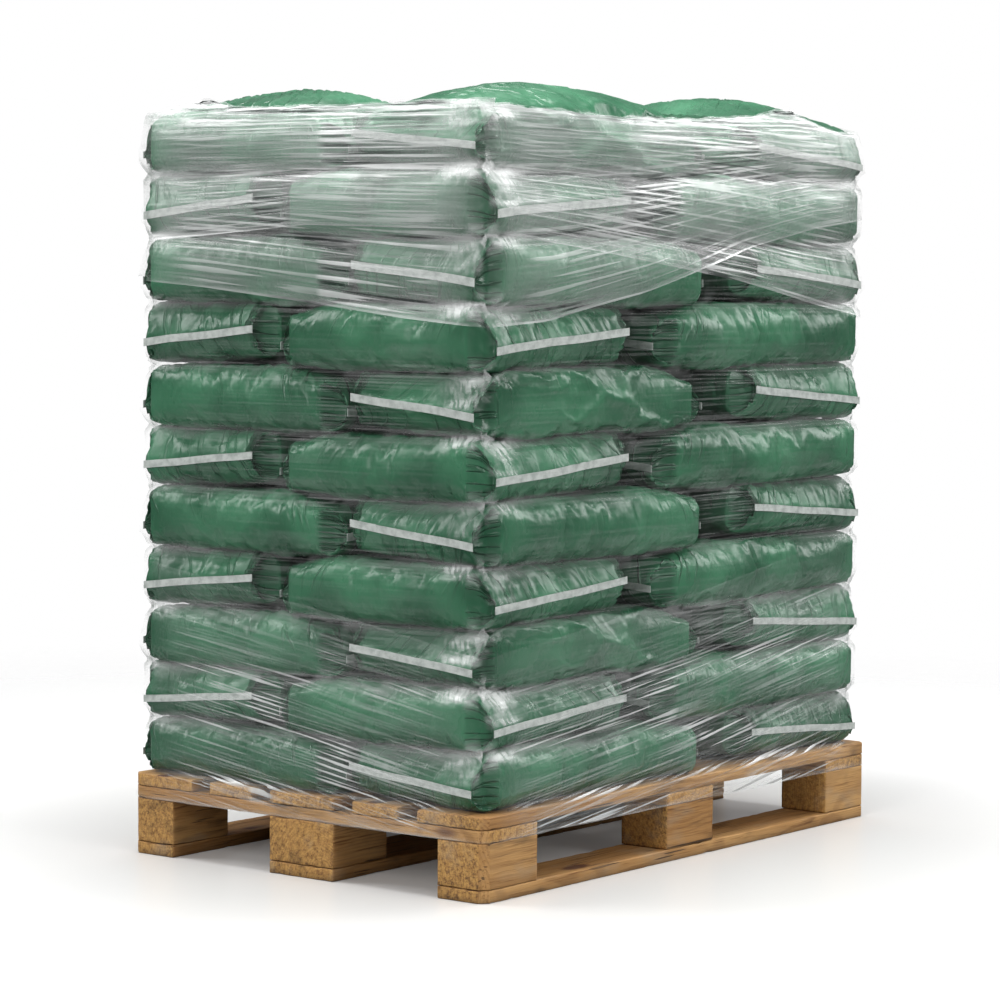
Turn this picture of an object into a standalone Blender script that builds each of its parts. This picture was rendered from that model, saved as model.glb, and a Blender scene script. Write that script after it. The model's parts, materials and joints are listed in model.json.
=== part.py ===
# Pallet of sacks: a four-way timber pallet, eleven layers of four sacks laid pinwheel fashion,
# and the stretch film that holds the load to the deck.
# Metres, +Z up. X runs along the pallet's length and Y across it. The origin is on the floor,
# under the middle of the pallet.

import math

import bmesh
import bpy
from mathutils import Matrix, Vector

# Pallet: the common 1200 x 800 x 144 mm flat pallet
PALLET_LENGTH = 1.200
PALLET_WIDTH = 0.800
BOARD = 0.022
BLOCK_HEIGHT = 0.078
WIDE = 0.145
NARROW = 0.100
CORNER_CUT = 0.015
NAIL_GAP = 0.0003
DECK_TOP = 3 * BOARD + BLOCK_HEIGHT

# Load: lower layers are pressed flatter than upper ones, and the top one is free to dome
LAYERS = 11
FUSED_LAYERS = 2
LOWEST_LAYER = 0.0995
LAYER_GROWTH = 0.00165
TOP_LAYER = 0.098
LAYER_GAP = 0.0003
LOAD_INSET = 0.012

# Sack, as length and width laid: the same bag lies squeezed long and narrow, or short and wide.
# In odd layers, counted from 1, the sack at the near corner lies along X; in even layers, along Y.
ODD_CORNER_SACK = (0.652, 0.296)
ODD_SIDE_SACK = (0.468, 0.391)
EVEN_CORNER_SACK = (0.441, 0.422)
EVEN_SIDE_SACK = (0.675, 0.282)
SIDE_ROUND = 0.047
SIDE_STEPS = 3
END_FOLD = 0.048
END_BAND = 0.014
END_NARROWING = 0.010
TOP_CROWN = 0.045
CORE_LENGTH = 0.474
CORE_WIDTH = 0.292

# Stretch film, drawn thicker than the real film
FILM = 0.0008
FILM_GAP = 0.0004
FILM_CORNER = 0.008
FILM_CORNER_STEPS = 2
FILM_LAP = 0.044
FILM_FLARE = 0.040
WAIST = 0.014
WAIST_REACH = 0.036
LIP_ROUND = 0.041
LIP_RISE = 0.010
LIP_TURN = 62.0
LIP_STEPS = 3

TIMBER = (0.55, 0.36, 0.19, 1.0)
SACK_GREEN = (0.035, 0.19, 0.095, 1.0)
CLEAR_FILM = (0.90, 0.94, 0.93, 0.25)


def clear_scene():
    for obj in list(bpy.data.objects):
        bpy.data.objects.remove(obj, do_unlink=True)


def make_material(name, colour, roughness):
    material = bpy.data.materials.new(name)
    material.use_nodes = True
    shader = material.node_tree.nodes["Principled BSDF"]
    shader.inputs["Base Color"].default_value = colour
    shader.inputs["Roughness"].default_value = roughness
    shader.inputs["Metallic"].default_value = 0.0
    shader.inputs["Alpha"].default_value = colour[3]
    return material


def add_object(name, bm, collection, material):
    mesh = bpy.data.meshes.new(name)
    bm.to_mesh(mesh)
    bm.free()
    mesh.materials.append(material)
    obj = bpy.data.objects.new(name, mesh)
    collection.objects.link(obj)
    return obj


def box_mesh(size):
    """A box of that size, centred on its own origin."""
    bm = bmesh.new()
    bmesh.ops.create_cube(bm, size=1.0)
    bmesh.ops.scale(bm, vec=Vector(size), verts=bm.verts)
    return bm


def cut_corners(bm, centre):
    """Cuts the upright edges that lie on the pallet's own corners."""
    half = Vector((PALLET_LENGTH / 2, PALLET_WIDTH / 2))
    edges = []
    for edge in bm.edges:
        ends = [Vector(centre) + vert.co for vert in edge.verts]
        upright = abs(ends[0].z - ends[1].z) > BOARD / 2
        on_corner = all(abs(abs(p.x) - half.x) < 1e-4 and abs(abs(p.y) - half.y) < 1e-4 for p in ends)
        if upright and on_corner:
            edges.append(edge)
    if edges:
        bmesh.ops.bevel(bm, geom=edges, offset=CORNER_CUT, segments=1, affect="EDGES")


def add_timber(name, size, centre, collection, material):
    bm = box_mesh(size)
    cut_corners(bm, centre)
    obj = add_object(name, bm, collection, material)
    obj.location = centre
    return obj


def build_pallet(collection):
    """Three bottom boards, nine blocks, three cross boards and five deck boards, nailed up in that order."""
    timber = make_material("timber", TIMBER, 0.8)
    rows = (NARROW, WIDE, NARROW)
    row_y = (-(PALLET_WIDTH - NARROW) / 2, 0.0, (PALLET_WIDTH - NARROW) / 2)
    column_x = (-(PALLET_LENGTH - WIDE) / 2, 0.0, (PALLET_LENGTH - WIDE) / 2)
    block_z = BOARD + BLOCK_HEIGHT / 2
    cross_z = BOARD + BLOCK_HEIGHT + BOARD / 2
    for row, (width, y) in enumerate(zip(rows, row_y), 1):
        size = (PALLET_LENGTH, width, BOARD - NAIL_GAP)
        add_timber(f"bottom_board_{row}", size, (0, y, size[2] / 2), collection, timber)
        for column, x in enumerate(column_x, 1):
            size = (WIDE, width, BLOCK_HEIGHT - NAIL_GAP)
            add_timber(f"block_{row}{column}", size, (x, y, block_z), collection, timber)
    for column, x in enumerate(column_x, 1):
        size = (WIDE, PALLET_WIDTH, BOARD - NAIL_GAP)
        add_timber(f"cross_board_{column}", size, (x, 0, cross_z), collection, timber)
    deck = (WIDE, NARROW, WIDE, NARROW, WIDE)
    space = (PALLET_WIDTH - sum(deck)) / (len(deck) - 1)
    edge = -PALLET_WIDTH / 2
    for number, width in enumerate(deck, 1):
        size = (PALLET_LENGTH, width, BOARD - NAIL_GAP)
        centre = (0, edge + width / 2, DECK_TOP - size[2] / 2)
        add_timber(f"deck_board_{number}", size, centre, collection, timber)
        edge += width + space


def layer_height(layer):
    return TOP_LAYER if layer == LAYERS - 1 else LOWEST_LAYER + LAYER_GROWTH * layer


def layer_bottom(layer):
    return DECK_TOP + sum(layer_height(below) for below in range(layer))


def cut_across(bm, axis, place):
    """Adds a loop of edges where the plane at that place along the axis crosses the mesh."""
    normal = Vector([1.0 if i == axis else 0.0 for i in range(3)])
    geometry = bm.verts[:] + bm.edges[:] + bm.faces[:]
    bmesh.ops.bisect_plane(bm, geom=geometry, dist=1e-6, plane_co=normal * place, plane_no=normal)


def sack_mesh(length, width, height, crown=0.0):
    """A filled bag lying along X: rounded long sides, and ends that fold to a flat band at half height."""
    bm = box_mesh((length, width, height))
    long_edges = [e for e in bm.edges if abs(e.verts[0].co.x - e.verts[1].co.x) > length / 2]
    bmesh.ops.bevel(bm, geom=long_edges, offset=SIDE_ROUND, segments=SIDE_STEPS, affect="EDGES")
    shoulder = length / 2 - END_FOLD
    for place in (shoulder, length / 2 - 0.4 * END_FOLD):
        cut_across(bm, 0, place)
        cut_across(bm, 0, -place)
    if crown:
        for share in (-0.28, 0.0, 0.28):
            cut_across(bm, 0, share * length)
        cut_across(bm, 1, 0.0)
    for vert in bm.verts:
        fold = max(0.0, (abs(vert.co.x) - shoulder) / END_FOLD)
        if crown and vert.co.z > 0:
            dome = math.cos(math.pi * vert.co.x / length) * math.cos(math.pi * vert.co.y / width)
            vert.co.z += crown * dome
        vert.co.z *= 1.0 - (1.0 - END_BAND / height) * fold ** 1.25
        vert.co.y *= 1.0 - 2 * END_NARROWING / width * fold
    return bm


def layer_plan(layer):
    """The four sacks of a layer: name, size, turned or not, and the corner of the load that it fills."""
    corner = ("corner", -1, -1)
    left = ("left", -1, 1)
    right = ("right", 1, -1)
    back = ("back", 1, 1)
    even = layer % 2 == 1
    plan = []
    for (name, side_x, side_y), at_corner in zip((corner, left, right, back), (True, False, False, True)):
        turned = at_corner == even
        if even:
            length, width = EVEN_CORNER_SACK if at_corner else EVEN_SIDE_SACK
        else:
            length, width = ODD_CORNER_SACK if at_corner else ODD_SIDE_SACK
        reach_x, reach_y = (width, length) if turned else (length, width)
        x = side_x * (PALLET_LENGTH / 2 - LOAD_INSET - reach_x / 2)
        y = side_y * (PALLET_WIDTH / 2 - LOAD_INSET - reach_y / 2)
        plan.append((name, length, width, turned, x, y))
    return plan


def placed_sack(layer, length, width, turned, x, y):
    height = layer_height(layer) - LAYER_GAP
    crown = TOP_CROWN if layer == LAYERS - 1 else 0.0
    bm = sack_mesh(length, width, height, crown)
    place = Matrix.Translation((x, y, layer_bottom(layer) + LAYER_GAP + height / 2))
    if turned:
        place = place @ Matrix.Rotation(math.pi / 2, 4, "Z")
    return bm, place


def build_fused_layer(layer, collection, cutters, material):
    """A bottom layer, its four sacks pressed together on a plain hidden core."""
    height = layer_height(layer) - LAYER_GAP
    core = add_object(
        f"sack_layer_{layer + 1:02d}",
        box_mesh((CORE_LENGTH, CORE_WIDTH, height - 2 * END_BAND)),
        collection,
        material,
    )
    core.location = (0, 0, layer_bottom(layer) + LAYER_GAP + height / 2)
    for name, length, width, turned, x, y in layer_plan(layer):
        bm, place = placed_sack(layer, length, width, turned, x, y)
        guide = add_object(f"guide_{layer + 1:02d}_{name}", bm, cutters, material)
        guide.matrix_world = place
        guide.hide_render = True
        guide.display_type = "WIRE"
        union = core.modifiers.new(f"join_{name}", "BOOLEAN")
        union.operation = "UNION"
        union.object = guide


def build_load(collection, cutters):
    green = make_material("sack_plastic", SACK_GREEN, 0.35)
    for layer in range(LAYERS):
        if layer < FUSED_LAYERS:
            build_fused_layer(layer, collection, cutters, green)
            continue
        for name, length, width, turned, x, y in layer_plan(layer):
            bm, place = placed_sack(layer, length, width, turned, x, y)
            sack = add_object(f"sack_{layer + 1:02d}_{name}", bm, collection, green)
            sack.matrix_world = place


def film_ring(bm, half_x, half_y, radius, z):
    """One loop of the film: a rectangle with round corners at height z."""
    ring = []
    for quarter, (side_x, side_y) in enumerate(((1, 1), (-1, 1), (-1, -1), (1, -1))):
        for step in range(FILM_CORNER_STEPS + 1):
            angle = math.pi / 2 * (quarter + step / FILM_CORNER_STEPS)
            x = side_x * (half_x - radius) + radius * math.cos(angle)
            y = side_y * (half_y - radius) + radius * math.sin(angle)
            ring.append(bm.verts.new((x, y, z)))
    return ring


def film_profile():
    """Inset from the pallet's edge, corner radius and height of each loop, from the skirt up to the turned lip.

    Between two layers the film draws in to a waist; it leaves each layer's bulge a little before the joint.
    """
    on_deck = -FILM_GAP
    on_load = LOAD_INSET - FILM_GAP
    top = layer_bottom(LAYERS) + LIP_RISE
    loops = [(on_deck, CORNER_CUT, DECK_TOP - FILM_LAP), (on_deck, CORNER_CUT, DECK_TOP + FILM_GAP)]
    loops.append((on_load, FILM_CORNER, DECK_TOP + FILM_FLARE))
    for layer in range(1, LAYERS):
        joint = layer_bottom(layer)
        loops.append((on_load, FILM_CORNER, joint - WAIST_REACH))
        loops.append((on_load + WAIST, FILM_CORNER, joint))
        loops.append((on_load, FILM_CORNER, joint + WAIST_REACH))
    for step in range(LIP_STEPS + 1):
        angle = math.radians(LIP_TURN * step / LIP_STEPS)
        inset = on_load + LIP_ROUND * (1 - math.cos(angle))
        loops.append((inset, FILM_CORNER, top - LIP_ROUND + LIP_ROUND * math.sin(angle)))
    return loops


def build_film(collection):
    """The film as one thin sleeve, open above and below, from the cross boards to over the top sacks' edges."""
    bm = bmesh.new()
    below = None
    for inset, radius, z in film_profile():
        ring = film_ring(bm, PALLET_LENGTH / 2 - inset, PALLET_WIDTH / 2 - inset, radius, z)
        if below:
            for i, vert in enumerate(ring):
                bm.faces.new((below[i - 1], below[i], vert, ring[i - 1]))
        below = ring
    bmesh.ops.recalc_face_normals(bm, faces=bm.faces)
    clear = make_material("stretch_film", CLEAR_FILM, 0.15)
    film = add_object("stretch_film", bm, collection, clear)
    wall = film.modifiers.new("wall", "SOLIDIFY")
    wall.thickness = FILM
    wall.offset = 1.0


def main():
    clear_scene()
    pallet_of_sacks = bpy.data.collections.new("pallet_of_sacks")
    cutters = bpy.data.collections.new("guides")
    for collection in (pallet_of_sacks, cutters):
        bpy.context.scene.collection.children.link(collection)
    build_pallet(pallet_of_sacks)
    build_load(pallet_of_sacks, cutters)
    build_film(pallet_of_sacks)


main()
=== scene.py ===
import json
import math

import bmesh
import bpy
import numpy as np
from mathutils import Euler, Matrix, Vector
from mathutils.bvhtree import BVHTree

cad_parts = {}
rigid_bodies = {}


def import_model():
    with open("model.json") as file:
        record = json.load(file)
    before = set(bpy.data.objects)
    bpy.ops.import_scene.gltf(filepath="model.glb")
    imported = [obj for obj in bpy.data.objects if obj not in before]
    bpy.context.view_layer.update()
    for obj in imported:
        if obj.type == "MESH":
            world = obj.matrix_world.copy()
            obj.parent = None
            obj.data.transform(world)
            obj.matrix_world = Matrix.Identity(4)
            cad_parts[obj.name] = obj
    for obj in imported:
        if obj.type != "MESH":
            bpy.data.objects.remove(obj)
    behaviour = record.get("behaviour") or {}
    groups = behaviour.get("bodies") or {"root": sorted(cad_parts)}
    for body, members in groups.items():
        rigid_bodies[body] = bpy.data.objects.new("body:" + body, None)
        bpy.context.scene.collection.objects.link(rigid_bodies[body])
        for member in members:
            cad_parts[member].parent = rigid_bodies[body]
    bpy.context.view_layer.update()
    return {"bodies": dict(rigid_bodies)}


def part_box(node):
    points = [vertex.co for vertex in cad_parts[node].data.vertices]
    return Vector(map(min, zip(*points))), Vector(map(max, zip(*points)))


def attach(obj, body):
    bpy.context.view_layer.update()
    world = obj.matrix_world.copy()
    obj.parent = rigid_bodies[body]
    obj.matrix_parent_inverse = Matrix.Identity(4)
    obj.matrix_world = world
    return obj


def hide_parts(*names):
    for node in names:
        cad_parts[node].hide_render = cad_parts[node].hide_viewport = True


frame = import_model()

root = sorted(frame["bodies"])[0]


def smooth(edge0, edge1, x):
    t = np.clip((x - edge0) / (edge1 - edge0), 0.0, 1.0)
    return t * t * (3 - 2 * t)


def ripple(x, y, seed):
    # soft random hills, about -1 to 1, one hill per unit of x and y
    rng = np.random.default_rng(seed)
    shuffle = rng.permutation(512)
    way = rng.random(512) * 2 * np.pi
    x0, y0 = np.floor(x).astype(np.int64), np.floor(y).astype(np.int64)
    fx, fy = x - x0, y - y0
    sx, sy = fx * fx * fx * (fx * (fx * 6 - 15) + 10), fy * fy * fy * (fy * (fy * 6 - 15) + 10)

    def lean(ix, iy):
        pick = shuffle[(shuffle[ix & 511] + iy) & 511]
        return np.cos(way[pick]) * (x - ix) + np.sin(way[pick]) * (y - iy)

    low = lean(x0, y0) * (1 - sx) + lean(x0 + 1, y0) * sx
    high = lean(x0, y0 + 1) * (1 - sx) + lean(x0 + 1, y0 + 1) * sx
    return (low * (1 - sy) + high * sy) * 1.5


def ridge(x, y, seed, sharp=1.0):
    # sharp ridge lines, 0 to 1, where the hills cross zero
    return np.clip(1 - np.abs(ripple(x, y, seed)) * 2.2, 0, 1) ** sharp


def makeMesh(name, points, faces, material, uv=None, smoothFaces=True):
    mesh = bpy.data.meshes.new(name)
    mesh.from_pydata(points, [], faces)
    if uv is not None:
        layer = mesh.uv_layers.new(name="ownUV")
        corner = np.empty(len(mesh.loops), dtype=np.int32)
        mesh.loops.foreach_get("vertex_index", corner)
        layer.data.foreach_set("uv", np.asarray(uv, dtype=np.float32)[corner].ravel())
    mesh.polygons.foreach_set("use_smooth", [smoothFaces] * len(mesh.polygons))
    mesh.materials.append(material)
    mesh.update()
    piece = bpy.data.objects.new(name, mesh)
    bpy.context.scene.collection.objects.link(piece)
    return piece


class Wire:
    # a value inside a material; sums and products of it add Math nodes
    def __init__(self, recipe, socket):
        self.recipe, self.socket = recipe, socket

    def math(self, operation, *others, clamp=False):
        return self.recipe.node("ShaderNodeMath", {"operation": operation, "use_clamp": clamp}, self, *others)

    def __add__(self, other):
        return self.math("ADD", other)

    def __sub__(self, other):
        return self.math("SUBTRACT", other)

    def __mul__(self, other):
        return self.math("MULTIPLY", other)

    def __truediv__(self, other):
        return self.math("DIVIDE", other)

    def __rsub__(self, other):
        return self.recipe.node("ShaderNodeMath", {"operation": "SUBTRACT"}, other, self)

    __radd__, __rmul__ = __add__, __mul__


class Recipe:
    # builds one material's node tree
    def __init__(self, name, **fixed):
        self.material = bpy.data.materials.new(name)
        self.material.use_nodes = True
        self.tree = self.material.node_tree
        self.shader = self.tree.nodes["Principled BSDF"]
        self.material.diffuse_color = (*fixed.get("Base_Color", (0.8, 0.8, 0.8, 1))[:3], 1)
        for key, value in fixed.items():
            self.shader.inputs[key.replace("_", " ")].default_value = value

    def feed(self, socket, value):
        if isinstance(value, Wire):
            self.tree.links.new(value.socket, socket)
        elif value is not None:
            socket.default_value = value

    def node(self, kind, settings=None, *values, out=0, **named):
        made = self.tree.nodes.new(kind)
        for key, value in (settings or {}).items():
            if key == "stops":
                ramp = made.color_ramp
                while len(ramp.elements) < len(value):
                    ramp.elements.new(0.5)
                for stop, (place, colour) in zip(ramp.elements, value):
                    stop.position = place
                    stop.color = (*colour, 1) if hasattr(colour, "__len__") else (colour, colour, colour, 1)
            else:
                setattr(made, key, value)
        for slot, value in enumerate(values):
            self.feed(made.inputs[slot], value)
        for key, value in named.items():
            self.feed(made.inputs[key.replace("_", " ")], value)
        return Wire(self, made.outputs[out])

    def noise(self, place, scale, detail=3, roughness=0.5, distortion=0.0):
        return self.node("ShaderNodeTexNoise", None, Vector=place, Scale=scale, Detail=detail,
                         Roughness=roughness, Distortion=distortion)

    def flatNoise(self, x, y, detail=1):
        return self.node("ShaderNodeTexNoise", {"noise_dimensions": "2D"}, Vector=self.join(x, y), Scale=1.0,
                         Detail=detail, Roughness=0.55)

    def line(self, pattern, width):
        # 1 along the thin lines where a noise passes its middle
        return self.range((pattern - 0.5).math("ABSOLUTE"), width, 0.0)

    def stretch(self, place, scale, turn=(0, 0, 0), shift=(0, 0, 0)):
        return self.node("ShaderNodeMapping", None, place, Location=shift, Rotation=turn, Scale=scale)

    def parts(self, vector):
        made = self.tree.nodes.new("ShaderNodeSeparateXYZ")
        self.feed(made.inputs[0], vector)
        return [Wire(self, out) for out in made.outputs]

    def join(self, x, y, z=0.0):
        return self.node("ShaderNodeCombineXYZ", None, x, y, z)

    def attribute(self, name):
        return self.node("ShaderNodeAttribute", {"attribute_name": name}, out=2)

    def range(self, value, low, high, toLow=0.0, toHigh=1.0, kind="SMOOTHSTEP"):
        return self.node("ShaderNodeMapRange", {"interpolation_type": kind}, value, low, high, toLow, toHigh)

    def blend(self, factor, first, second, how="MIX"):
        made = self.tree.nodes.new("ShaderNodeMix")
        made.data_type, made.blend_type = "RGBA", how
        self.feed(made.inputs[0], factor)
        self.feed(made.inputs[6], first)
        self.feed(made.inputs[7], second)
        return Wire(self, made.outputs[2])

    def bump(self, height, strength, distance, below=None):
        return self.node("ShaderNodeBump", None, Height=height, Strength=strength, Distance=distance, Normal=below)

    def done(self, **links):
        for key, value in links.items():
            self.feed(self.shader.inputs[key.replace("_", " ")], value)
        return self.material


studio = {
    "eye": (-4.893, -3.728, 1.0335),
    "headingDeg": 37.56,   # from +X towards +Y
    "dipDeg": 3.83,
    "rollDeg": 0.4,
    "focalMm": 119.9,
    "floorColour": (0.95, 0.95, 0.95, 1),
    # painted shade: the floor's darker grey round the pallet
    "floorNearShade": (0.80, 0.795, 0.785, 1),
    "floorBounce": (0.40, 0.40, 0.40, 1),
    "floorReach": 3.4,
    "skyLevel": 0.42,
    "lights": {             # place, size, watts
        "leftBox": ((-1.9, 2.8, 3.1), 1.6, 52),
        "rightBox": ((3.6, -1.6, 2.7), 1.9, 52),
        "frontLeftBox": ((-4.6, -0.6, 2.6), 1.9, 78),
        "frontRightBox": ((-0.4, -4.6, 2.6), 1.9, 88),
        "topBox": ((0.0, 0.0, 4.2), 2.6, 190),
    },
}


def buildStudio():
    scene = bpy.context.scene
    camera = bpy.data.objects.new("camera", bpy.data.cameras.new("camera"))
    camera.location = studio["eye"]
    roll = Euler((0, 0, math.radians(studio["rollDeg"]))).to_matrix()
    aim = Euler((math.radians(90 - studio["dipDeg"]), 0, math.radians(studio["headingDeg"] - 90))).to_matrix()
    camera.rotation_euler = (aim @ roll).to_euler()
    camera.data.lens = studio["focalMm"]
    camera.data.sensor_width = 36
    camera.data.clip_end = 200
    scene.collection.objects.link(camera)
    scene.camera = camera

    world = bpy.data.worlds.new("studio")
    world.use_nodes = True
    tree = world.node_tree
    tree.nodes.clear()
    place = tree.nodes.new("ShaderNodeTexCoord")
    split = tree.nodes.new("ShaderNodeSeparateXYZ")
    tree.links.new(place.outputs["Generated"], split.inputs[0])
    ramp = tree.nodes.new("ShaderNodeValToRGB")
    ramp.color_ramp.elements[0].position = 0.0
    ramp.color_ramp.elements[0].color = (0.42, 0.42, 0.43, 1)
    ramp.color_ramp.elements[1].position = 0.9
    ramp.color_ramp.elements[1].color = (1, 1, 1, 1)
    tree.links.new(split.outputs["Z"], ramp.inputs[0])
    dim = tree.nodes.new("ShaderNodeBackground")
    dim.inputs["Strength"].default_value = studio["skyLevel"]
    tree.links.new(ramp.outputs[0], dim.inputs["Color"])
    white = tree.nodes.new("ShaderNodeBackground")
    white.inputs["Color"].default_value = (1, 1, 1, 1)
    white.inputs["Strength"].default_value = 1.0
    path = tree.nodes.new("ShaderNodeLightPath")
    mix = tree.nodes.new("ShaderNodeMixShader")
    tree.links.new(path.outputs["Is Camera Ray"], mix.inputs[0])
    tree.links.new(dim.outputs[0], mix.inputs[1])
    tree.links.new(white.outputs[0], mix.inputs[2])
    out = tree.nodes.new("ShaderNodeOutputWorld")
    tree.links.new(mix.outputs[0], out.inputs["Surface"])
    scene.world = world

    scene.view_settings.view_transform = "Standard"
    paths = scene.cycles
    paths.max_bounces, paths.diffuse_bounces, paths.glossy_bounces, paths.transmission_bounces = 4, 2, 2, 1
    paths.transparent_max_bounces = 12
    paths.caustics_reflective = paths.caustics_refractive = False
    paths.adaptive_threshold = 0.03

    # two side boxes put the long gloss on the sacks' upper shoulders
    for name, (place, size, watts) in studio["lights"].items():
        lamp = bpy.data.objects.new(name, bpy.data.lights.new(name, "AREA"))
        lamp.data.size, lamp.data.energy = size, watts
        lamp.location = place
        lamp.rotation_euler = (Vector((0, 0, 0.65)) - Vector(place)).to_track_quat("-Z", "Y").to_euler()
        scene.collection.objects.link(lamp)

    bm = bmesh.new()
    bmesh.ops.create_circle(bm, cap_ends=True, segments=64, radius=studio["floorReach"])
    mesh = bpy.data.meshes.new("studioFloor")
    bm.to_mesh(mesh)
    bm.free()
    floor = bpy.data.objects.new("studioFloor", mesh)
    scene.collection.objects.link(floor)
    recipe = Recipe("floorCard", Base_Color=studio["floorColour"], Roughness=0.30)
    recipe.shader.inputs["Specular IOR Level"].default_value = 0.35
    seen = recipe.node("ShaderNodeLightPath")
    glow = recipe.blend(seen, (0, 0, 0, 1), (0.05, 0.05, 0.05, 1))
    recipe.shader.inputs["Emission Strength"].default_value = 1.0
    place = recipe.node("ShaderNodeTexCoord", out="Object")
    away = recipe.node("ShaderNodeVectorMath", {"operation": "LENGTH"}, place, out=1)
    # painted shade: the floor is darker within 0.75 m of the middle, fading out by 1.55 m
    shown = recipe.blend(recipe.range(away, 0.75, 1.55), studio["floorNearShade"], studio["floorColour"])
    colour = recipe.blend(seen, studio["floorBounce"], shown)
    mesh.materials.append(recipe.done(Base_Color=colour, Emission_Color=glow, Alpha=recipe.range(away, studio["floorReach"], 1.0)))
    print("studio ready")


sackLook = {
    "green": (0.030, 0.150, 0.072, 1),
    "lightGreen": (0.045, 0.185, 0.095, 1),
    "darkGreen": (0.018, 0.100, 0.048, 1),
    # painted shade colour for the folded gussets and the crease lines
    "paintedFoldShade": (0.006, 0.030, 0.015, 1),
}


def sackPlastic():
    r = Recipe("sackPlastic", Base_Color=sackLook["green"], Metallic=0.0)
    r.shader.inputs["Specular IOR Level"].default_value = 0.38
    place = r.node("ShaderNodeTexCoord", out=3)
    u, s, _ = r.parts(r.node("ShaderNodeUVMap", {"uv_map": "ownUV"}))
    fold, panel, loose = (r.attribute(key) for key in ("fold", "panel", "loose"))
    cloud = r.noise(place, 7.0, 1, 0.55)
    colour = r.blend(r.range(cloud, 0.30, 0.70), sackLook["darkGreen"], sackLook["lightGreen"])
    # sharp creases: slanting down from the shoulders, square to the end seams, and level inside the gussets
    way = r.blend(panel.math("GREATER_THAN", 0.5), r.join(u * 23 + s * 9, s * 6), r.join(s * 24 + u * 15, u * 8))
    way = r.blend(fold.math("GREATER_THAN", 0.3), way, r.join(s * 62, u * 9))
    x, y, _ = r.parts(way)
    creases = r.line(r.flatNoise(x, y, 1), 0.055) * loose
    dents = r.flatNoise(u * 27, s * 23, 2)
    # painted shade: the folded gussets and the sharp crease lines are darkened towards a near-black green
    colour = r.blend(fold * 0.32 + creases * 0.25, colour, sackLook["paintedFoldShade"])
    bump = r.bump(creases * 0.0036 + dents * 0.0036, 1.0, 1.0)
    return r.done(Base_Color=colour, Roughness=r.range(dents, 0.25, 0.75, 0.26, 0.40), Normal=bump)


tapeLook = {"paper": (0.56, 0.60, 0.57, 1), "shade": (0.33, 0.37, 0.345, 1)}


def tapePaper():
    r = Recipe("tapePaper", Base_Color=tapeLook["paper"], Roughness=0.7)
    sheet = r.node("ShaderNodeUVMap", {"uv_map": "ownUV"})
    crepe = r.noise(r.stretch(sheet, (420, 60, 1)), 1.0, 3, 0.6)
    blot = r.noise(r.stretch(sheet, (60, 60, 1)), 1.0, 3, 0.6)
    colour = r.blend(r.range(blot, 0.35, 0.75), tapeLook["paper"], tapeLook["shade"])
    return r.done(Base_Color=colour, Normal=r.bump(crepe, 0.5, 0.0012))


sackForm = {
    "sideRound": 0.043,     # the rounded long sides reach this far in
    "endDepth": 0.046,      # the end panels slope over this length
    "seamHalf": 0.006,
    "tuckDepth": 0.044,     # length of the folded gusset at each corner
    "tuckInset": 0.024,     # the seam is this much shorter than the sack is wide, at each side
    "tuckStep": 0.011,      # how far the side steps in where the gusset begins
    "tuckHollow": 0.010,    # how far the gusset lies behind the end panel's edges
    "slack": 0.035,         # how much more plastic there is than the filled shape needs
    "pressure": 5.0,
    "steps": 18,
    "mostMove": 0.012,
    "columnStep": 0.0054,
    "ringStep": 0.0070,
    "endStep": 0.0034,
    "sag": 0.006,           # how far a layer boundary gives way where one sack is thin and the next thick
    "taper": 0.04,          # how much thinner the sacks are at their ends
    "seamLow": 0.31,        # height of the end seam in its layer, at the load's outer edge
    "seamHigh": 0.62,       # and at the other side
    "lift": 0.012,          # how far the lower inner corner of an end stands up
    "droop": 0.015,         # how far the top sinks at the end beside a gap
}
layerCount = 11
sideNames = {"Corner": (-1, -1), "Left": (-1, 1), "Right": (1, -1), "Back": (1, 1)}
crowns = {"Corner": 0.054, "Left": 0.048, "Right": 0.064, "Back": 0.052}  # how high the top sacks' domes rise


def layerLevels():
    levels = []
    for number in range(1, layerCount + 1):
        node = f"sack_layer_{number:02d}" if number < 3 else f"sack_{number:02d}_corner"
        low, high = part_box(node)
        levels.append(low[2] if hasattr(low, "__len__") else low)
    return levels


def layerPlan(number):
    # the sacks of a layer, counted from 1: name, side signs, length, width, lies along Y, centre
    even = number % 2 == 0
    corner = (0.468, 0.425, True) if even else (0.662, 0.314, False)
    side = (0.675, 0.308, False) if even else (0.474, 0.410, True)
    plan = []
    for name, (sx, sy) in sideNames.items():
        length, width, turned = corner if name in ("Corner", "Back") else side
        reachX, reachY = (width, length) if turned else (length, width)
        centre = (sx * (0.588 - reachX / 2) + (0.010 if sx > 0 else 0.0), sy * (0.388 - reachY / 2) + (0.018 if sy > 0 else 0.0))
        plan.append((name, sx, sy, length, width, turned, centre))
    return plan


plans = {number: layerPlan(number) for number in range(1, layerCount + 1)}


def fullness(number, x, y):
    # 1 where a layer's sacks are thick, 0 in its gaps and at the sacks' ends
    if number < 1 or number > layerCount:
        return np.ones_like(x)
    best = np.zeros_like(x)
    for name, sx, sy, length, width, turned, (cx, cy) in plans[number]:
        u, v = (y - cy, x - cx) if turned else (x - cx, y - cy)
        fromEnd = np.clip((length / 2 + 0.05 - np.abs(u)) / 0.15, 0, 1)
        fromSide = np.clip((width / 2 + 0.03 - np.abs(v)) / 0.03, 0, 1)
        best = np.maximum(best, np.sin(np.pi / 2 * fromEnd) * fromSide)
    return best


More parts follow.
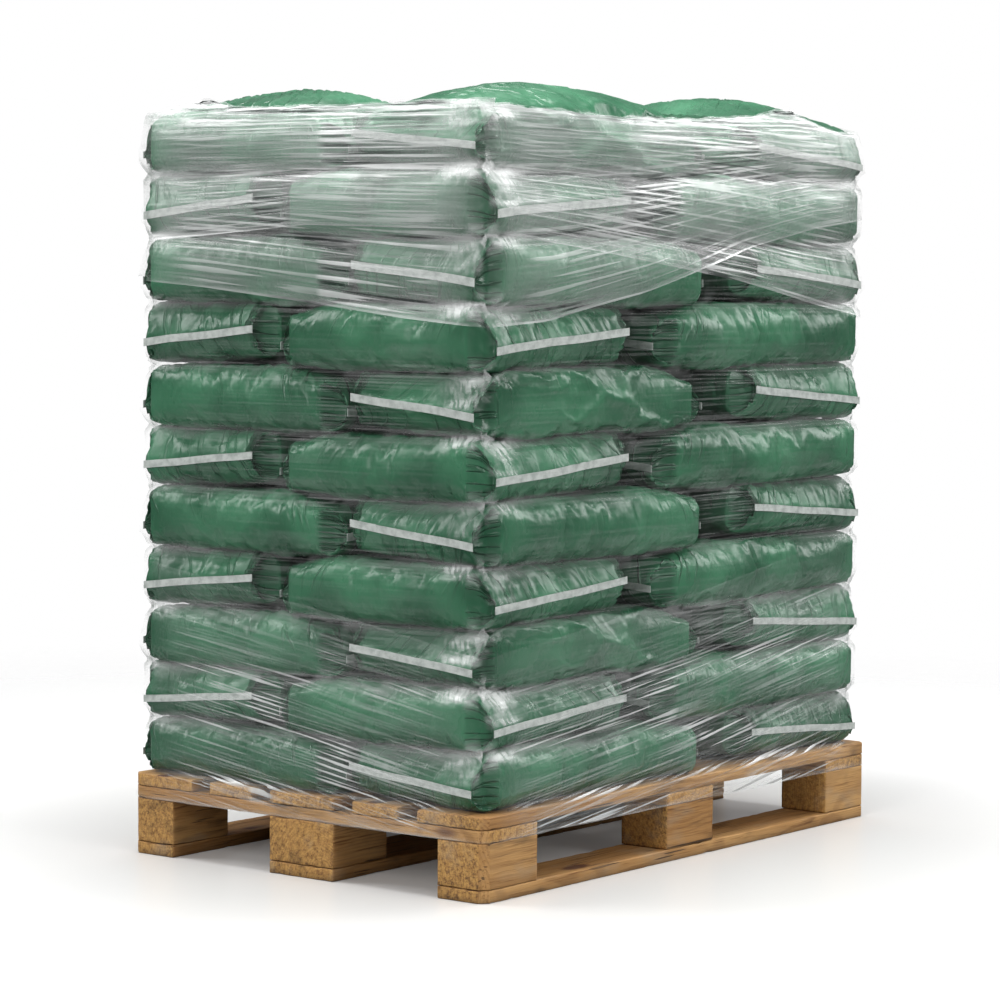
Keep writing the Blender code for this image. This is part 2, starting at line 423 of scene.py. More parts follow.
def layerFloor(levels, number, x, y):
    # height of the boundary below layer number, 1 for the lowest
    if number == 1:
        return np.full_like(x, levels[0])
    give = fullness(number - 1, x, y) - fullness(number, x, y)
    wave = ripple(x * 2.3 + 3.1 * number, y * 2.3 + 1.7 * number, 40 + number) * 0.003
    return levels[number - 1] + sackForm["sag"] * give + wave


def seamShift(v, width, h0):
    # the end seam runs down towards the load's outer edge
    share = sackForm["seamLow"] + (sackForm["seamHigh"] - sackForm["seamLow"]) * (0.5 - v / width)
    return (share - 0.5) * 2 * h0


def sackGrid(length, width, seed):
    # the bag's own surface: u along it with its outer end at +u, v across with its outer side at +v, w up from -0.5 to 0.5
    form = sackForm
    half = length / 2
    outerEnd = np.arange(0, 0.075, form["endStep"])
    freeEnd = np.arange(0, 0.075, form["endStep"] * 1.3)
    middle = np.linspace(-half + 0.075, half - 0.075, max(8, int((length - 0.15) / form["ringStep"])))
    u = np.concatenate([-half + freeEnd, middle, (half - outerEnd)[::-1]])
    thick = 0.106
    h0 = thick / 2
    endT = np.clip((np.abs(u) - (half - form["endDepth"])) / form["endDepth"], 0, 1)
    h = h0 * (1 - form["taper"] * smooth(0.14, 0.05, half - np.abs(u)))
    h = h + (form["seamHalf"] - h) * endT ** 2.4
    tuckStart = half - form["tuckDepth"]
    tuckT = np.clip((np.abs(u) - tuckStart) / form["tuckDepth"], 0, 1)
    inset = form["tuckStep"] * smooth(0.0, 0.14, tuckT) + (form["tuckInset"] - form["tuckStep"]) * tuckT
    wall = width / 2 - inset - 0.004 * (2 * np.abs(u) / length) ** 4

    flat = width / 2 - form["sideRound"]
    topCount = max(10, int(2 * flat / 0.011))
    outCount = int(math.pi * h0 * 1.03 / form["columnStep"])
    inCount = 14
    columns = []  # (kind, value): top and bottom by share of the flat width, sides by angle
    columns += [("top", q) for q in np.linspace(-1, 1, topCount, endpoint=False)]
    columns += [("out", a) for a in np.linspace(90, -90, outCount, endpoint=False)]
    columns += [("bottom", q) for q in np.linspace(1, -1, topCount, endpoint=False)]
    columns += [("in", a) for a in np.linspace(-90, 90, inCount, endpoint=False)]
    kinds = np.array([k for k, _ in columns])
    values = np.array([v for _, v in columns])

    U = np.repeat(u[:, None], len(columns), 1)
    H = h[:, None]
    wallU = wall[:, None]
    lip = np.minimum(flat, wallU)
    angle = np.radians(values)[None, :]
    square = smooth(0.16, 0.05, half - np.abs(u))[:, None]   # the folded ends have tighter edges
    arcV = flat + form["sideRound"] * np.abs(np.cos(angle)) ** (0.82 - 0.26 * square)
    arcW = np.sign(np.sin(angle)) * np.abs(np.sin(angle)) ** (0.86 - 0.22 * square)
    cut = np.minimum(arcV, wallU)
    # the folded gusset lies behind the end panel's edges, deepest beside them, with a few pleats
    tucked = smooth(0.0, 0.004, arcV - wallU)
    hollow = form["tuckHollow"] * (smooth(0.0, 0.35, tuckT) * smooth(1.0, 0.75, tuckT))[:, None]
    pleat = 0.0022 * smooth(0.1, 0.4, tuckT)[:, None] * ridge(arcW * 2.2, arcW * 0 + 5.5, seed + 3, 1.5)
    cut = cut - (hollow * smooth(0.0, 0.009, arcV - wallU) + pleat) * tucked

    V = np.zeros_like(U)
    W = np.zeros_like(U)
    isTop, isBottom = kinds == "top", kinds == "bottom"
    isOut, isIn = kinds == "out", kinds == "in"
    V[:, isTop] = lip * values[isTop]
    V[:, isBottom] = lip * values[isBottom]
    V[:, isOut] = cut[:, isOut]
    V[:, isIn] = -cut[:, isIn]
    W[:, isTop] = np.repeat(H, isTop.sum(), 1)
    W[:, isBottom] = -np.repeat(H, isBottom.sum(), 1)
    W[:, isOut] = H * arcW[:, isOut]
    W[:, isIn] = H * arcW[:, isIn]
    rise = np.clip(W / np.maximum(H, 0.004), -1, 1)
    W = W + seamShift(V, width, h0) * (endT ** 1.3)[:, None]
    raised = smooth(0.02, -width / 2, V) * smooth(0.16, 0.04, half - np.abs(u))[:, None] * smooth(0.2, -1.0, rise)
    sunk = smooth(0.12, 0.03, half + u)[:, None] * smooth(-0.6, 1.0, rise)
    W = W + (form["lift"] * raised - form["droop"] * sunk) * (1 - endT)[:, None]

    # arc length round the bag, from the middle of the outer side
    step = np.hypot(np.diff(V, axis=1, append=V[:, :1]), np.diff(W, axis=1, append=W[:, :1]))
    middleRing = len(u) // 2
    around = np.concatenate([[0], np.cumsum(step[middleRing])[:-1]])
    outMiddle = around[np.argmin(np.where(isOut, np.abs(values), 999.0))]
    around = around - outMiddle
    around[isIn] = np.where(around[isIn] > 0, around[isIn], around[isIn])
    S = np.repeat(around[None, :], len(u), 0)
    sides = np.isin(kinds, ["out", "in"])[None, :]
    toEnd = length / 2 - np.abs(U)
    fold = np.where(sides, tucked * smooth(0.0, 0.10, tuckT)[:, None], 0.0)
    panel = np.clip(1 - fold, 0, 1) * smooth(0.02, 0.12, endT)[:, None]
    shoulder = np.where(sides, smooth(-0.35, 0.55, rise), 1.0)
    patchy = smooth(-0.25, 0.45, ripple(U * 7 + 3.3, S * 4, seed + 12))
    loose = np.where(sides, shoulder * (0.25 + 0.75 * smooth(0.17, 0.05, toEnd)) * patchy, 0.6 * patchy)
    loose = np.maximum(np.maximum(loose, panel * (0.35 + 0.65 * patchy)), fold)
    return U, V, W, S, kinds, values, endT, tuckT, h0, {"fold": fold, "panel": panel, "loose": loose}


def crease(grid, length, width, seed):
    # folds and dents of the filled bag, as offsets along the surface normal
    U, V, W, S, kinds, values, endT, tuckT, h0, marks = grid
    side = np.isin(kinds, ["out", "in"])[None, :]
    rise = np.clip(W / h0, -1, 1)
    shoulder = np.where(side, smooth(0.15, 0.75, rise), smooth(0.055, 0.0, np.abs(np.abs(V) - (width / 2 - 0.05))) * (rise > 0))
    toEnd = length / 2 - np.abs(U)
    nearEnd = np.exp(-((toEnd / 0.085) ** 2))
    body = smooth(0.0, 0.05, toEnd)

    d = ripple(U * 5.5, S * 5.5, seed) * 0.0028
    d += ripple(U * 14, S * 11, seed + 1) * 0.0012
    # upright folds hang from the shoulder, slanting away from the ends
    slant = U + np.sign(U) * 0.25 * S
    folds = ridge(slant * 26, S * 6.0, seed + 2, 3.0) * smooth(0.35, 0.9, ripple(U * 9, S * 5, seed + 4) + 0.55)
    d += 0.0022 * folds * shoulder * (0.45 + 0.55 * smooth(0.30, 0.05, toEnd)) * body
    low = np.where(side, smooth(0.1, 0.7, -rise), 0)
    d += 0.0012 * ridge(slant * 22, S * 6.0, seed + 6, 3.0) * low * body
    # crushed film round the corners
    crushed = ridge(U * 48 + S * 20, S * 48 - U * 20, seed + 7, 2.0)
    d += 0.0030 * (crushed - 0.3) * nearEnd * np.clip(shoulder + 0.15, 0, 1)
    # end panels: creases square to the seam, a few long slanting ones
    onEnd = smooth(0.05, 0.5, endT)[:, None] * (~side)
    d += 0.0026 * (ridge(V * 24 + U * 3, V * 0 + U * 5, seed + 8, 2.2) - 0.25) * onEnd
    d += 0.0022 * (ridge(V * 9 + U * 14, U * 9, seed + 9, 4.0)) * onEnd
    return d


def settle(P, held, slack):
    # cloth run: the bag's film is a little too large for its filling, so it buckles into folds where nothing holds it
    rings, around = P.shape[:2]
    i, j = np.meshgrid(np.arange(rings - 1), np.arange(around), indexing="ij")
    nextJ = (j + 1) % around
    quad = np.stack([i * around + j, i * around + nextJ, (i + 1) * around + nextJ, (i + 1) * around + j], -1).reshape(-1, 4)
    faces = quad.tolist() + [list(range(around))[::-1], list(range((rings - 1) * around, rings * around))]
    mesh = bpy.data.meshes.new("bagCloth")
    mesh.from_pydata(P.reshape(-1, 3).tolist(), [], faces)
    bm = bmesh.new()
    bm.from_mesh(mesh)
    bmesh.ops.recalc_face_normals(bm, faces=bm.faces)
    bm.to_mesh(mesh)
    bm.free()
    bag = bpy.data.objects.new("bagCloth", mesh)
    bpy.context.scene.collection.objects.link(bag)
    group = bag.vertex_groups.new(name="held")
    weights = held.ravel()
    for level in np.unique(np.round(weights, 1)):
        if level > 0:
            group.add(np.nonzero(np.round(weights, 1) == level)[0].tolist(), float(level), "REPLACE")
    cloth = bag.modifiers.new("fill", "CLOTH")
    what = cloth.settings
    what.quality = 5
    what.mass = 0.15
    what.tension_stiffness = what.compression_stiffness = 40
    what.shear_stiffness = 12
    what.bending_stiffness = 0.15
    what.tension_damping = what.compression_damping = 8
    what.use_pressure = True
    what.uniform_pressure_force = sackForm["pressure"]
    what.effector_weights.gravity = 0
    what.vertex_group_mass = "held"
    what.pin_stiffness = 1.0
    what.shrink_min = -slack
    cloth.point_cache.frame_start, cloth.point_cache.frame_end = 1, sackForm["steps"]
    scene = bpy.context.scene
    for step in range(1, sackForm["steps"] + 1):
        scene.frame_set(step)
    done = bag.evaluated_get(bpy.context.evaluated_depsgraph_get()).to_mesh()
    moved = np.empty(len(done.vertices) * 3, dtype=np.float32)
    done.vertices.foreach_get("co", moved)
    moved = moved.reshape(P.shape).astype(float) - P
    scene.frame_set(1)
    bpy.data.objects.remove(bag, do_unlink=True)
    far = np.linalg.norm(moved, axis=2, keepdims=True)
    most = sackForm["mostMove"]
    print("  bag settled, moved mm:", np.round(np.percentile(far * 1000, [50, 90, 99, 100]), 1))
    return P + moved * most * np.tanh(far / most) / np.maximum(far, 1e-9)


def surfaceNormals(P):
    # P is rings x columns x 3, closed round the columns
    alongRing = np.roll(P, -1, 1) - np.roll(P, 1, 1)
    alongSack = np.gradient(P, axis=0)
    n = np.cross(alongSack, alongRing)
    return n / np.maximum(np.linalg.norm(n, axis=2, keepdims=True), 1e-9)


def bagShape(length, width, seed):
    # one settled bag, in its own directions
    grid = sackGrid(length, width, seed)
    U, V, W, S, kinds, values, endT, tuckT, h0, marks = grid
    flatPoints = np.stack([U, V, W], 2)
    d = crease(grid, length, width, seed)
    n = surfaceNormals(flatPoints)
    middle = len(U) // 2
    outward = np.sign(np.sum(n[middle] * np.stack([U * 0, V, W], 2)[middle]))
    P = flatPoints + n * outward * d[:, :, None]
    pressed = np.where(np.isin(kinds, ["top", "bottom"])[None, :], smooth(0.02, 0.10, length / 2 - np.abs(U)) * 0.85, 0.0)
    held = np.maximum(pressed, (endT > 0.985)[:, None] * np.ones_like(U))
    return (settle(P, held, sackForm["slack"])), grid


def buildSacks(levels, plastic, paper):
    sacks = []
    shapes = {}
    for even in (True, False):
        for corner in (True, False):
            length, width = plans[2 if even else 1][0 if corner else 1][3:5]
            for variant in (0, 1):
                seed = 500 + 100 * variant + 10 * even + 3 * corner
                shapes[even, corner, variant] = bagShape(length, width, seed)
    tapePoints, tapeFaces, tapeUV = [], [], []
    for number in range(1, layerCount + 1):
        for place, (name, sx, sy, length, width, turned, (cx, cy)) in enumerate(plans[number]):
            seed = 1000 + number * 37 + place * 11
            rng = np.random.default_rng(seed)
            variant = (number // 2 + (name in ("Back", "Right"))) % 2
            P, grid = shapes[number % 2 == 0, name in ("Corner", "Back"), variant]
            U, V, W, S = grid[:4]
            h0, marks = grid[-2:]

            def toWorld(u, v, w):
                du, dv = (sy, sx) if turned else (sx, sy)
                x = cx + (dv * v if turned else du * u)
                y = cy + (du * u if turned else dv * v)
                low = layerFloor(levels, number, x, y)
                if number < layerCount:
                    high = layerFloor(levels, number + 1, x, y)
                else:
                    dome = np.cos(np.clip(u / length, -0.5, 0.5) * np.pi) * np.cos(np.clip(v / width, -0.5, 0.5) * np.pi)
                    high = levels[-1] + 0.098 + crowns[name] * np.clip(dome, 0, 1) ** 0.8
                z = low + (high - low) * (w / (2 * h0) + 0.5)
                return np.stack([x, y, z], -1)

            world = toWorld(P[:, :, 0], P[:, :, 1], P[:, :, 2])
            rings, around = U.shape
            flip = (sx * sy if not turned else -sx * sy) < 0
            i, j = np.meshgrid(np.arange(rings - 1), np.arange(around), indexing="ij")
            nextJ = (j + 1) % around
            quad = np.stack([i * around + j, i * around + nextJ, (i + 1) * around + nextJ, (i + 1) * around + j], -1).reshape(-1, 4)
            if not flip:
                quad = quad[:, ::-1]
            faces = quad.tolist()
            startCap, endCap = list(range(around)), list(range((rings - 1) * around, rings * around))
            faces += [startCap, endCap[::-1]] if not flip else [startCap[::-1], endCap]
            uv = np.stack([U.ravel() + 0.37 * place + 1.3 * number, S.ravel()], 1)
            sack = makeMesh(f"sack{name}{number:02d}", world.reshape(-1, 3).tolist(), faces, plastic, uv)
            for key, values in marks.items():
                layer = sack.data.attributes.new(key, "FLOAT", "POINT")
                layer.data.foreach_set("value", values.astype(np.float32).ravel())
            sacks.append((sack, name, number))

            # the paper tape over each end seam
            for end in (1, -1):
                reach = width / 2 - sackForm["tuckInset"] - 0.001
                v = np.linspace(-reach, reach, int(2 * reach / 0.004))
                wob = ripple(v * 9, v * 0 + 2.5, seed + 20 + end) * 0.0016
                bulge = 0.0008 + ripple(v * 22, v * 0 + 7.5, seed + 30 + end) * 0.0006
                halfTall = 0.0068
                corners = []
                for dw, du in ((-halfTall, 0.0), (-halfTall, 0.0012), (halfTall, 0.0012), (halfTall, 0.0)):
                    w = wob + dw + seamShift(v, width, h0)
                    corners.append(toWorld(end * (length / 2 + 0.0006 + bulge + du), v, w))
                ring = np.stack(corners, 1)
                base = len(tapePoints)
                tapePoints.extend(ring.reshape(-1, 3).tolist())
                for k in range(len(v) - 1):
                    for c in range(4):
                        a, b = base + 4 * k + c, base + 4 * k + (c + 1) % 4
                        tapeFaces.append([a, b, b + 4, a + 4])
                tapeFaces.append([base, base + 1, base + 2, base + 3][::-1])
                last = base + 4 * (len(v) - 1)
                tapeFaces.append([last, last + 1, last + 2, last + 3])
                across = np.array([-halfTall, -halfTall, halfTall, halfTall])
                for value in v:
                    tapeUV.extend([[value + seed * 0.37, w] for w in across])
    tape = makeMesh("sealTape", tapePoints, tapeFaces, paper, tapeUV, smoothFaces=False)
    bm = bmesh.new()
    bm.from_mesh(tape.data)
    bmesh.ops.recalc_face_normals(bm, faces=bm.faces)
    bm.to_mesh(tape.data)
    bm.free()
    print("sacks ready:", len(sacks), "with", sum(len(s.data.polygons) for s, _, _ in sacks), "faces")
    return sacks, tape


wrapForm = {
    "low": 0.1005,          # the film's lower edge hangs over the deck boards' ends
    "leanFrom": 1.262,      # above this it leans in over the top sacks
    "leanIn": 0.020,
    "cornerRound": 0.030,
    "columnStep": 0.012,
    "rowStep": 0.006,
    "clear": 0.0012,
    "sink": 0.45,           # between two layers: 0 is straight, 1 as deep as the sacks' corners let it
    "tail": 0.05,           # each turn's end laps over its start
}
# A lap counts round the load from the far corner: 0 to 1 the far long side, 1 to 2 the left end,
# 2 to 3 the near long side, 3 to 4 the right end. Edges are (lap, height).
wrapEdges = {
    "top": [(0, 1.325), (0.5, 1.318), (0.9, 1.335), (0.98, 1.318), (1.05, 1.316), (1.12, 1.330), (1.21, 1.343),
            (1.27, 1.326), (1.5, 1.324), (1.97, 1.327), (2.0, 1.322), (2.17, 1.316), (2.31, 1.310), (2.52, 1.318),
            (2.68, 1.331), (2.76, 1.351), (2.83, 1.329), (2.90, 1.312), (3.0, 1.312), (3.2, 1.335), (3.5, 1.320),
            (3.8, 1.335), (4.06, 1.325)],
    "risingTurn": [(0, 1.09), (0.98, 1.030), (1.04, 1.022), (1.2, 1.013), (1.49, 0.989), (1.77, 0.964), (2.0, 0.949),
                   (2.15, 0.960), (2.38, 1.009), (2.65, 1.087), (2.82, 1.125), (3.0, 1.150), (3.5, 1.13), (4.06, 1.09)],
    "fallingTurn": [(0, 1.00), (1.0, 1.09), (1.5, 1.12), (2.0, 1.11), (2.25, 1.080), (2.63, 1.028), (2.78, 0.999),
                    (2.95, 0.966), (3.0, 0.958), (3.5, 0.975), (4.06, 1.00)],
    "footTurn": [(0, 0.50), (1.0, 0.53), (1.5, 0.47), (2.0, 0.40), (2.5, 0.47), (3.0, 0.56), (3.5, 0.53), (4.06, 0.50)],
}


def wrapPath():
    # places round the load: lap, base point and outward direction
    round_, halfX, halfY = wrapForm["cornerRound"], 0.6, 0.4
    laps, points, normals = [], [], []
    corners = [(1, 1), (-1, 1), (-1, -1), (1, -1), (1, 1)]
    for side in range(4):
        (ax, ay), (bx, by) = corners[side], corners[side + 1]
        start = np.array([ax * halfX, ay * halfY])
        run = np.array([bx * halfX, by * halfY]) - start
        length = np.linalg.norm(run)
        way = run / length
        out = np.array([way[1], -way[0]])
        out = out if np.dot(out, start) > 0 else -out
        straight = np.linspace(round_, length - round_, int((length - 2 * round_) / wrapForm["columnStep"]))
        for place in straight:
            laps.append(side + place / length)
            points.append(start + way * place)
            normals.append(out)
        # the rounded corner after this side
        if side < 3:
            nextWay = np.array(corners[(side + 2) % 4 if side < 2 else 4]) - np.array(corners[side + 1])
            nextWay = nextWay / np.linalg.norm(nextWay)
            centre = start + run - way * round_ + nextWay * round_
            nextLength = 2 * (halfY if side % 2 == 0 else halfX)
            for angle in np.linspace(0, math.pi / 2, 13)[1:-1]:
                turn = out * math.cos(angle) + way * math.sin(angle)
                share = angle / (math.pi / 2) - 0.5
                laps.append(side + 1 + share * 2 * round_ / (length if share < 0 else nextLength))
                points.append(centre + turn * round_)
                normals.append(turn)
    laps = np.array(laps)
    # the tail goes on round the far corner, over the start of the first side
    first = (0, *range(1, int(wrapForm["tail"] * 1.2 / wrapForm["columnStep"])))
    return (np.concatenate([laps, laps[list(first)] + 4.0]),
            np.array(points + [points[k] for k in first]), np.array(normals + [normals[k] for k in first]), len(first))


def hullReach(points, base, normals):
    # how far out along its direction each column may stand when a band is pulled tight round the points
    order = sorted(map(tuple, points))
    chain = []
    for run in (order, order[::-1]):
        part = []
        for p in run:
            while len(part) > 1 and ((part[-1][0] - part[-2][0]) * (p[1] - part[-2][1])
                                     - (part[-1][1] - part[-2][1]) * (p[0] - part[-2][0])) <= 0:
                part.pop()
            part.append(p)
        chain += part[:-1]
    hull = np.array(chain)
    edge = np.roll(hull, -1, 0) - hull
    facing = np.stack([edge[:, 1], -edge[:, 0]], 1)
    facing /= np.maximum(np.linalg.norm(facing, axis=1, keepdims=True), 1e-9)
    offset = np.sum(facing * hull, 1)
    along = normals @ facing.T
    reach = (offset[None, :] - base @ facing.T) / np.where(along > 1e-3, along, np.nan)
    return np.nanmin(reach, axis=1)


def blur(rows, width, axis):
    kernel = np.hanning(width + 2)[1:-1]
    kernel /= kernel.sum()
    pad = [(0, 0)] * rows.ndim
    pad[axis] = (width // 2, width - 1 - width // 2)
    padded = np.pad(rows, pad, mode="edge")
    return np.apply_along_axis(lambda line: np.convolve(line, kernel, "valid"), axis, padded)


def measureLoad(pieces, levels):
    # what the film is pulled over: for each column and height, how far out the load and the film stand
    points, faces = [], []
    for piece in pieces:
        base = len(points)
        points += [vertex.co.copy() for vertex in piece.data.vertices]
        faces += [[base + corner for corner in face.vertices] for face in piece.data.polygons]
    tree = BVHTree.FromPolygons(points, faces)
    laps, base, normals, tail = wrapPath()
    heights = np.arange(wrapForm["low"], 1.352, wrapForm["rowStep"])
    load = np.full((len(heights), len(laps)), -0.25)
    for row, z in enumerate(heights):
        for column in range(len(laps)):
            (x, y), (nx, ny) = base[column], normals[column]
            hit = tree.ray_cast(Vector((x + nx * 0.08, y + ny * 0.08, z)), Vector((-nx, -ny, 0)), 0.33)
            if hit[0] is not None:
                load[row, column] = 0.08 - hit[3]
    tight = np.empty_like(load)
    for row in range(len(heights)):
        seen = load[row] > -0.24
        tight[row] = hullReach((base + normals * load[row][:, None])[seen], base, normals) if seen.sum() > 9 else -0.05
    # straight up and down from one layer's bulge to the next
    straight = np.empty_like(load)
    marks = [(wrapForm["low"], 0.144)] + [(low, high) for low, high in zip(levels, levels[1:] + [levels[-1] + 0.10])]
    for column in range(len(laps)):
        zs, ts = [], []
        for low, high in marks:
            rows = np.nonzero((heights >= low) & (heights < high))[0]
            best = rows[np.argmax(tight[rows, column])]
            zs.append(heights[best])
            ts.append(tight[best, column])
        straight[:, column] = np.interp(heights, zs, ts)
    onDeck = heights < 0.145
    straight[onDeck] = np.maximum(straight[onDeck], 0.0)
    film = tight + (np.maximum(straight, tight) - tight) * (1 - wrapForm["sink"])
    film = blur(blur(film, 5, 0), 5, 1)
    proud = load.copy()
    for axis in (0, 1):
        proud = np.maximum(proud, np.maximum(np.roll(proud, 1, axis), np.roll(proud, -1, axis)))
    film = np.maximum(film, proud + wrapForm["clear"])
    return {"laps": laps, "base": base, "normals": normals, "heights": heights, "load": load, "film": film,
            "levels": levels}


def edgeHeight(name, laps):
    run = np.array(wrapEdges[name])
    fine = np.linspace(0, 4.06, 600)
    return np.interp(laps, fine, blur(np.interp(fine, run[:, 0], run[:, 1]), 9, 0))


def sampleRows(grid, heights, z):
    place = np.clip((z - heights[0]) / (heights[1] - heights[0]), 0, len(heights) - 1.001)
    low = place.astype(int)
    share = place - low
    column = np.arange(grid.shape[1])[None, :]
    return grid[low, column] * (1 - share) + grid[low + 1, column] * share


def filmSheet(name, load, low, high, top, lift, haze, streak, edgeHaze, slope, material, seed):
    # one turn of film between two edges; slope says which edge its streaks follow
    laps, heights = load["laps"], load["heights"]
    rows = int(np.max(high - low) / wrapForm["rowStep"])
    q = np.linspace(0, 1, rows)[:, None]
    z = low[None, :] + q * (high - low)[None, :]
    L = np.repeat(laps[None, :], rows, 0)
    out = sampleRows(load["film"], heights, np.minimum(z, wrapForm["leanFrom"]))
    gap = out - sampleRows(load["load"], heights, z)
    lean = np.clip((z - wrapForm["leanFrom"]) / 0.07, 0, 1)
    out = out - wrapForm["leanIn"] * lean ** 1.4
    around = L * 1.0
    lean_, tilt = {"low": (low, 1 - q), "high": (high, 1.0), "none": (low, 0.0)}[slope]
    flow = z - (lean_ - lean_.mean())[None, :] * tilt
    free = smooth(0.002, 0.016, gap)
    out = out + 0.0010 * ridge(around * 9, flow * 95, seed, 2.0) * (0.3 + free)
    out = out + 0.0018 * ridge(around * 3, flow * 34, seed + 1, 3.0) * free
    out = out + 0.0040 * np.abs(ripple(around * 34, z * 12, seed + 2)) * lean
    out = np.maximum(out, np.where(z < heights[-1], sampleRows(load["load"], heights, z) + wrapForm["clear"], out)) + lift
    z = z + 0.0018 * ripple(around * 30, around * 0 + seed, seed + 3) * q ** 8
    x = load["base"][:, 0][None, :] + load["normals"][:, 0][None, :] * out
    y = load["base"][:, 1][None, :] + load["normals"][:, 1][None, :] * out
    points = np.stack([x, y, z], 2)
    count = len(laps)
    i, j = np.meshgrid(np.arange(rows - 1), np.arange(count - 1), indexing="ij")
    quad = np.stack([i * count + j, i * count + j + 1, (i + 1) * count + j + 1, (i + 1) * count + j], -1).reshape(-1, 4)
    metres = np.interp(L, [0, 1, 2, 3, 4, 5], [0, 1.2, 2.0, 3.2, 4.0, 5.2])
    uv = np.stack([metres.ravel() + 7.3 * seed, flow.ravel()], 1)
    sheet = makeMesh(name, points.reshape(-1, 3).tolist(), quad.tolist(), material, uv)
    fromCorner = np.min([np.abs(metres - at) for at in (0, 1.2, 2.0, 3.2, 4.0)], axis=0)
    rise = -np.gradient(out, axis=0) / np.maximum(np.gradient(z, axis=0), 1e-4)
    atCorner = np.exp(-(fromCorner / 0.080) ** 2)
    bare = smooth(0.025, 0.070, fromCorner)
    # painted highlight: the shine mask puts a glint on the film over the upper shoulders beside each corner, strongest
    # round the near corner
    front = 0.2 + 0.8 * np.exp(-((metres - 2.0) / 0.3) ** 2)
    shoulder = smooth(0.10, 0.6, rise) * np.exp(-((fromCorner - 0.070) / 0.032) ** 2) * front * smooth(0.18, 0.21, z)
    edges = np.exp(-np.minimum(z - low[None, :], high[None, :] - z) / 0.0026) * edgeHaze
    topGather = smooth(0.030, 0.0, top - z) * 0.10
    notch = np.min([np.abs(z - level) for level in load["levels"][1:]], axis=0)
    # painted sheen: film bridging the notch between two layers is made paler, more so at the corners
    bridged = smooth(0.006, 0.022, gap) * smooth(0.085, 0.045, gap) * np.exp(-(notch / 0.016) ** 2)
    fadeIn = smooth(0.0, 0.16, high[None, :] - z) if slope == "high" else 1.0
    fields = {
        "haze": np.clip(haze * (0.12 + 0.88 * bare) + edges * (0.25 + 0.75 * bare) + topGather, 0, 1),
        "gleam": bridged * (0.08 + 0.30 * atCorner),
        "streak": streak * smooth(0.06, 0.15, fromCorner) * (0.40 + 0.60 * smooth(0.004, 0.03, gap)) * fadeIn,
        "shine": shoulder,
    }
    for key, values in fields.items():
        layer = sheet.data.attributes.new(key, "FLOAT", "POINT")
        layer.data.foreach_set("value", values.astype(np.float32).ravel())
    return sheet, float(np.mean(high - low)), float(np.max(high - low))


wrapLook = {
    "film": (0.88, 0.90, 0.89, 1),
    # painted dark reflection colour for the film's dark strokes
    "dark": (0.020, 0.028, 0.026, 1),
    "rough": 0.24,
    "strokeAlong": 3.6,     # strokes per metre of film, along and across the pull
    "strokeAcross": 190.0,
    "fineAcross": 420.0,
}


def wrapFilm():
    # nearly clear; pale where turns lie over each other, with a painted pale gleam where it bridges the notches between
    # layers, painted highlight strokes and painted dark strokes along its pulled wrinkles, and a painted glinting sheen
    # on the shoulders beside the corners
    r = Recipe("wrapFilm", Base_Color=wrapLook["film"], Roughness=wrapLook["rough"])
    r.shader.inputs["Specular IOR Level"].default_value = 0.8
    u, v, _ = r.parts(r.node("ShaderNodeUVMap", {"uv_map": "ownUV"}))
    haze, gleam, streak, shine = (r.attribute(key) for key in ("haze", "gleam", "streak", "shine"))
    stroke = r.flatNoise(u * wrapLook["strokeAlong"], v * wrapLook["strokeAcross"], 0)
    fine = r.flatNoise(u * 5.5, v * wrapLook["fineAcross"], 1)
    cloud = r.flatNoise(u * 3.5, v * 11.0, 1)
    crinkle = r.flatNoise(u * 110 + v * 40, v * 38, 1)
    # painted highlight and painted dark reflection: white strokes and near-black strokes along the pulled wrinkles
    bright = r.range(stroke, 0.59, 0.71) * streak * r.range(cloud, 0.25, 0.60, 0.3, 1.0)
    dark = r.range(stroke, 0.41, 0.30) * streak
    # painted highlight: a glint on the shoulders beside the corners
    sheen = shine * r.range(crinkle, 0.34, 0.62, 0.22, 0.85)
    body = haze * (cloud * 1.2 + 0.4) * (fine * 1.2 + 0.4)
    # painted sheen: gleam makes the film paler where it bridges the notches
    alpha = r.node("ShaderNodeMath", {"operation": "ADD", "use_clamp": True},
                   body + bright * 0.75 + dark * 0.50, gleam * (cloud * 0.8 + 0.6) + sheen * 0.70)
    colour = r.blend(dark * (1 - sheen), wrapLook["film"], wrapLook["dark"])
    return r.done(Base_Color=colour, Alpha=alpha, Normal=r.bump(stroke, 0.8, 0.0020))


def buildWrap(pieces, levels, material):
    load = measureLoad(pieces, levels)
    laps = load["laps"]
    floorEdge = np.full(len(laps), wrapForm["low"]) + 0.0012 * ripple(laps * 11, laps * 0 + 0.5, 77)
    top = edgeHeight("top", laps) + 0.0025 * ripple(laps * 26, laps * 0 + 0.5, 78)
    rising, falling, foot = (edgeHeight(name, laps) for name in ("risingTurn", "fallingTurn", "footTurn"))
    sheets = []
    for name, low, high, lift, haze, streak, edgeHaze, slope in (
        ("wrapWhole", floorEdge, top, 0.0, 0.014, 0.14, 0.22, "none"),
        ("wrapFoot", floorEdge + 0.002, foot, 0.0010, 0.030, 0.90, 0.05, "high"),
        ("wrapRising", rising, top - 0.003, 0.0020, 0.13, 1.00, 0.35, "low"),
        ("wrapFalling", falling, top - 0.006, 0.0030, 0.11, 0.95, 0.35, "low"),
    ):
        sheet, meanHeight, mostHeight = filmSheet(
            name, load, low, high, top, lift, haze, streak, edgeHaze, slope, material, 60 + 5 * len(sheets))
        sheet.visible_shadow = sheet.visible_diffuse = False   # too thin and clear to shade what it covers
        sheets.append((sheet, meanHeight, mostHeight))
        print("film sheet", name, "mean height", round(meanHeight, 3))
    return sheets


